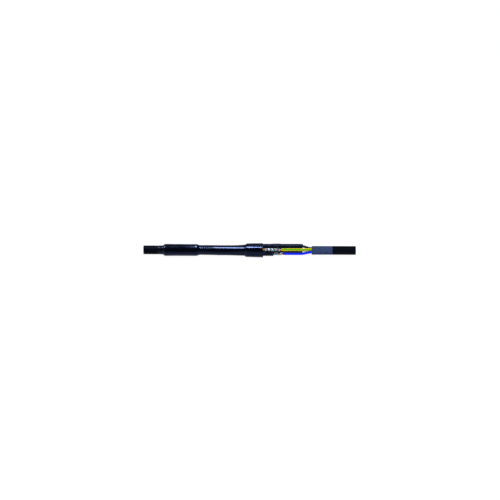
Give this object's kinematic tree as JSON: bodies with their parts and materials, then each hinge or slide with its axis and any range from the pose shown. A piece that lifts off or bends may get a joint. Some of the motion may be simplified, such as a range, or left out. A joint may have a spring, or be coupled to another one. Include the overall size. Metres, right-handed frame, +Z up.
{
  "type": "heat shrink cable joint",
  "caption": "Heat shrink straight joint on a multicore power cable, cut open over its crimped connectors.",
  "frame": {"origin": "on the surface it lies on, under the middle of its length and of its width", "axes": "+X along the cable towards the opened half, +Z up"},
  "size_m": [0.7, 0.0411, 0.0417],
  "materials": {
    "cable_sheath": "satin",
    "abraded_sheath": "matte",
    "cable_filler": "matte",
    "outer_tube": "gloss",
    "sealant": "gloss",
    "core_tube": "gloss",
    "insulation_black": "satin",
    "insulation_green_yellow": "satin",
    "insulation_blue": "satin",
    "insulation_grey": "satin",
    "copper": "bright",
    "tinned_copper": "satin"
  },
  "bodies": {
    "root": {"left_sheath": "cable_sheath", "left_filler": "cable_filler", "right_sheath": "abraded_sheath", "right_filler": "cable_filler", "sealant": "sealant", "outer_tube": "outer_tube", "left_insulation_black": "insulation_black", "left_conductor_black": "copper", "right_insulation_black": "insulation_black", "right_conductor_black": "copper", "connector_black": "tinned_copper", "core_tube_black": "core_tube", "left_insulation_green_yellow": "insulation_green_yellow", "left_conductor_green_yellow": "copper", "right_insulation_green_yellow": "insulation_green_yellow", "right_conductor_green_yellow": "copper", "connector_green_yellow": "tinned_copper", "core_tube_green_yellow": "core_tube", "left_insulation_blue": "insulation_blue", "left_conductor_blue": "copper", "right_insulation_blue": "insulation_blue", "right_conductor_blue": "copper", "connector_blue": "tinned_copper", "core_tube_blue": "core_tube", "left_insulation_grey": "insulation_grey", "left_conductor_grey": "copper", "right_insulation_grey": "insulation_grey", "right_conductor_grey": "copper", "connector_grey": "tinned_copper", "core_tube_grey": "core_tube"}
  },
  "joints": []
}
